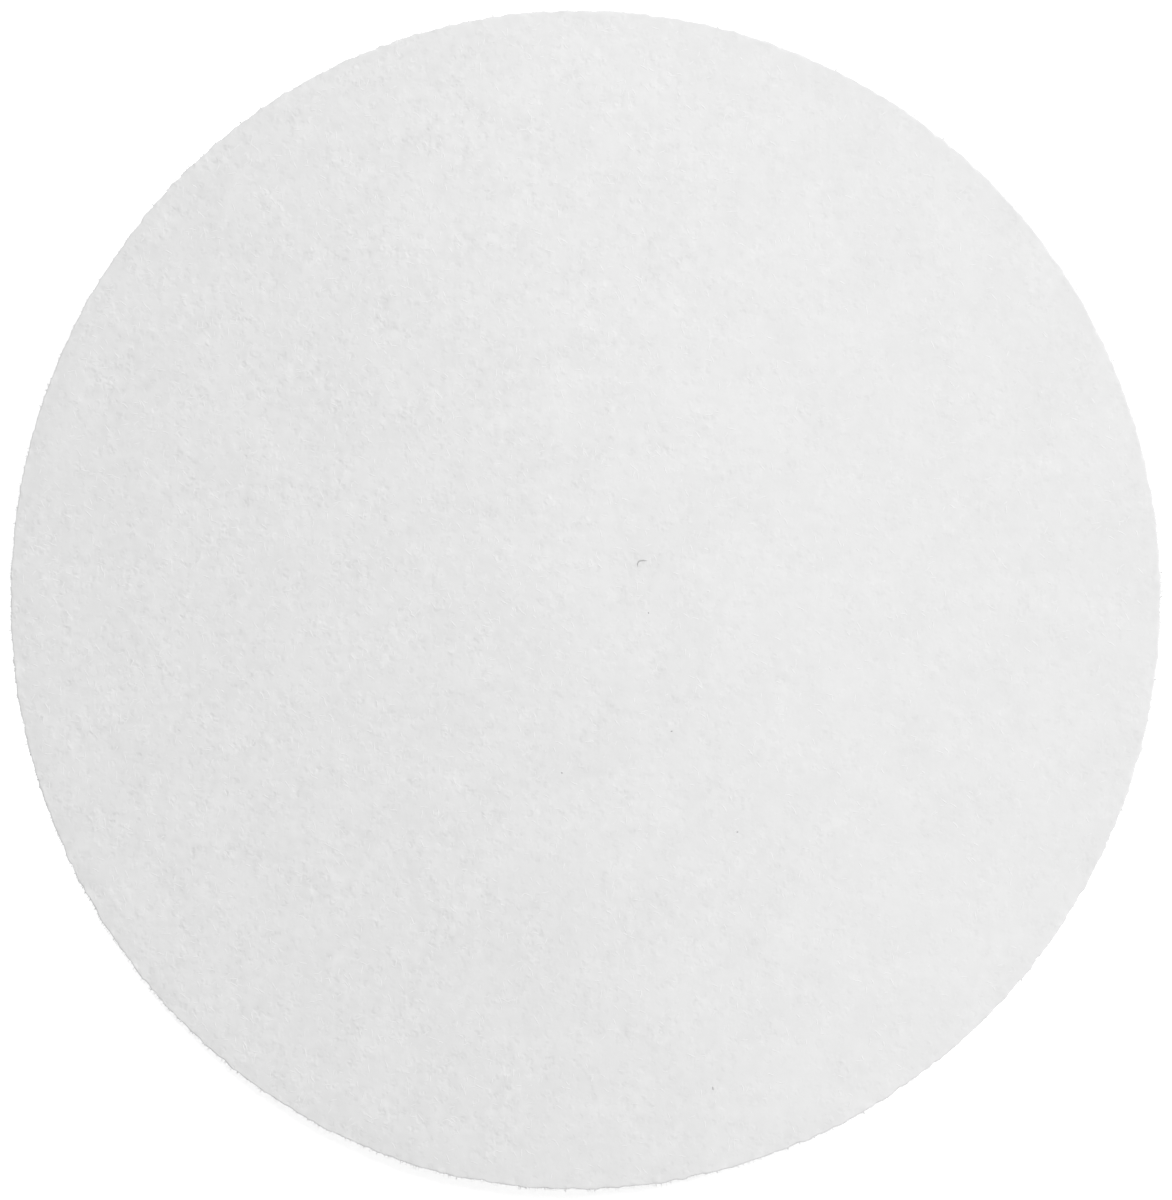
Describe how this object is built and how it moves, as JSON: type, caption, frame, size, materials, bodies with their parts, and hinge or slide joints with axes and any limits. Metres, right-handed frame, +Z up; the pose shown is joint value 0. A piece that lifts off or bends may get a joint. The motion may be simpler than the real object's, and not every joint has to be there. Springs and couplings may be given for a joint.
{
  "type": "filter paper disc",
  "caption": "Thin round disc of felted white filter paper with a punched rim, lying flat.",
  "frame": {"origin": "centre of the underside, where the disc lies on a surface", "axes": "+Z up through the sheet, out of the upper face; X and Y in the plane of the disc"},
  "size_m": [0.09, 0.09, 0.0002],
  "materials": {
    "filter_paper": "matte, uncoated, softly mottled felted fibre"
  },
  "bodies": {
    "root": {"filter_disc": "filter_paper"}
  },
  "joints": []
}
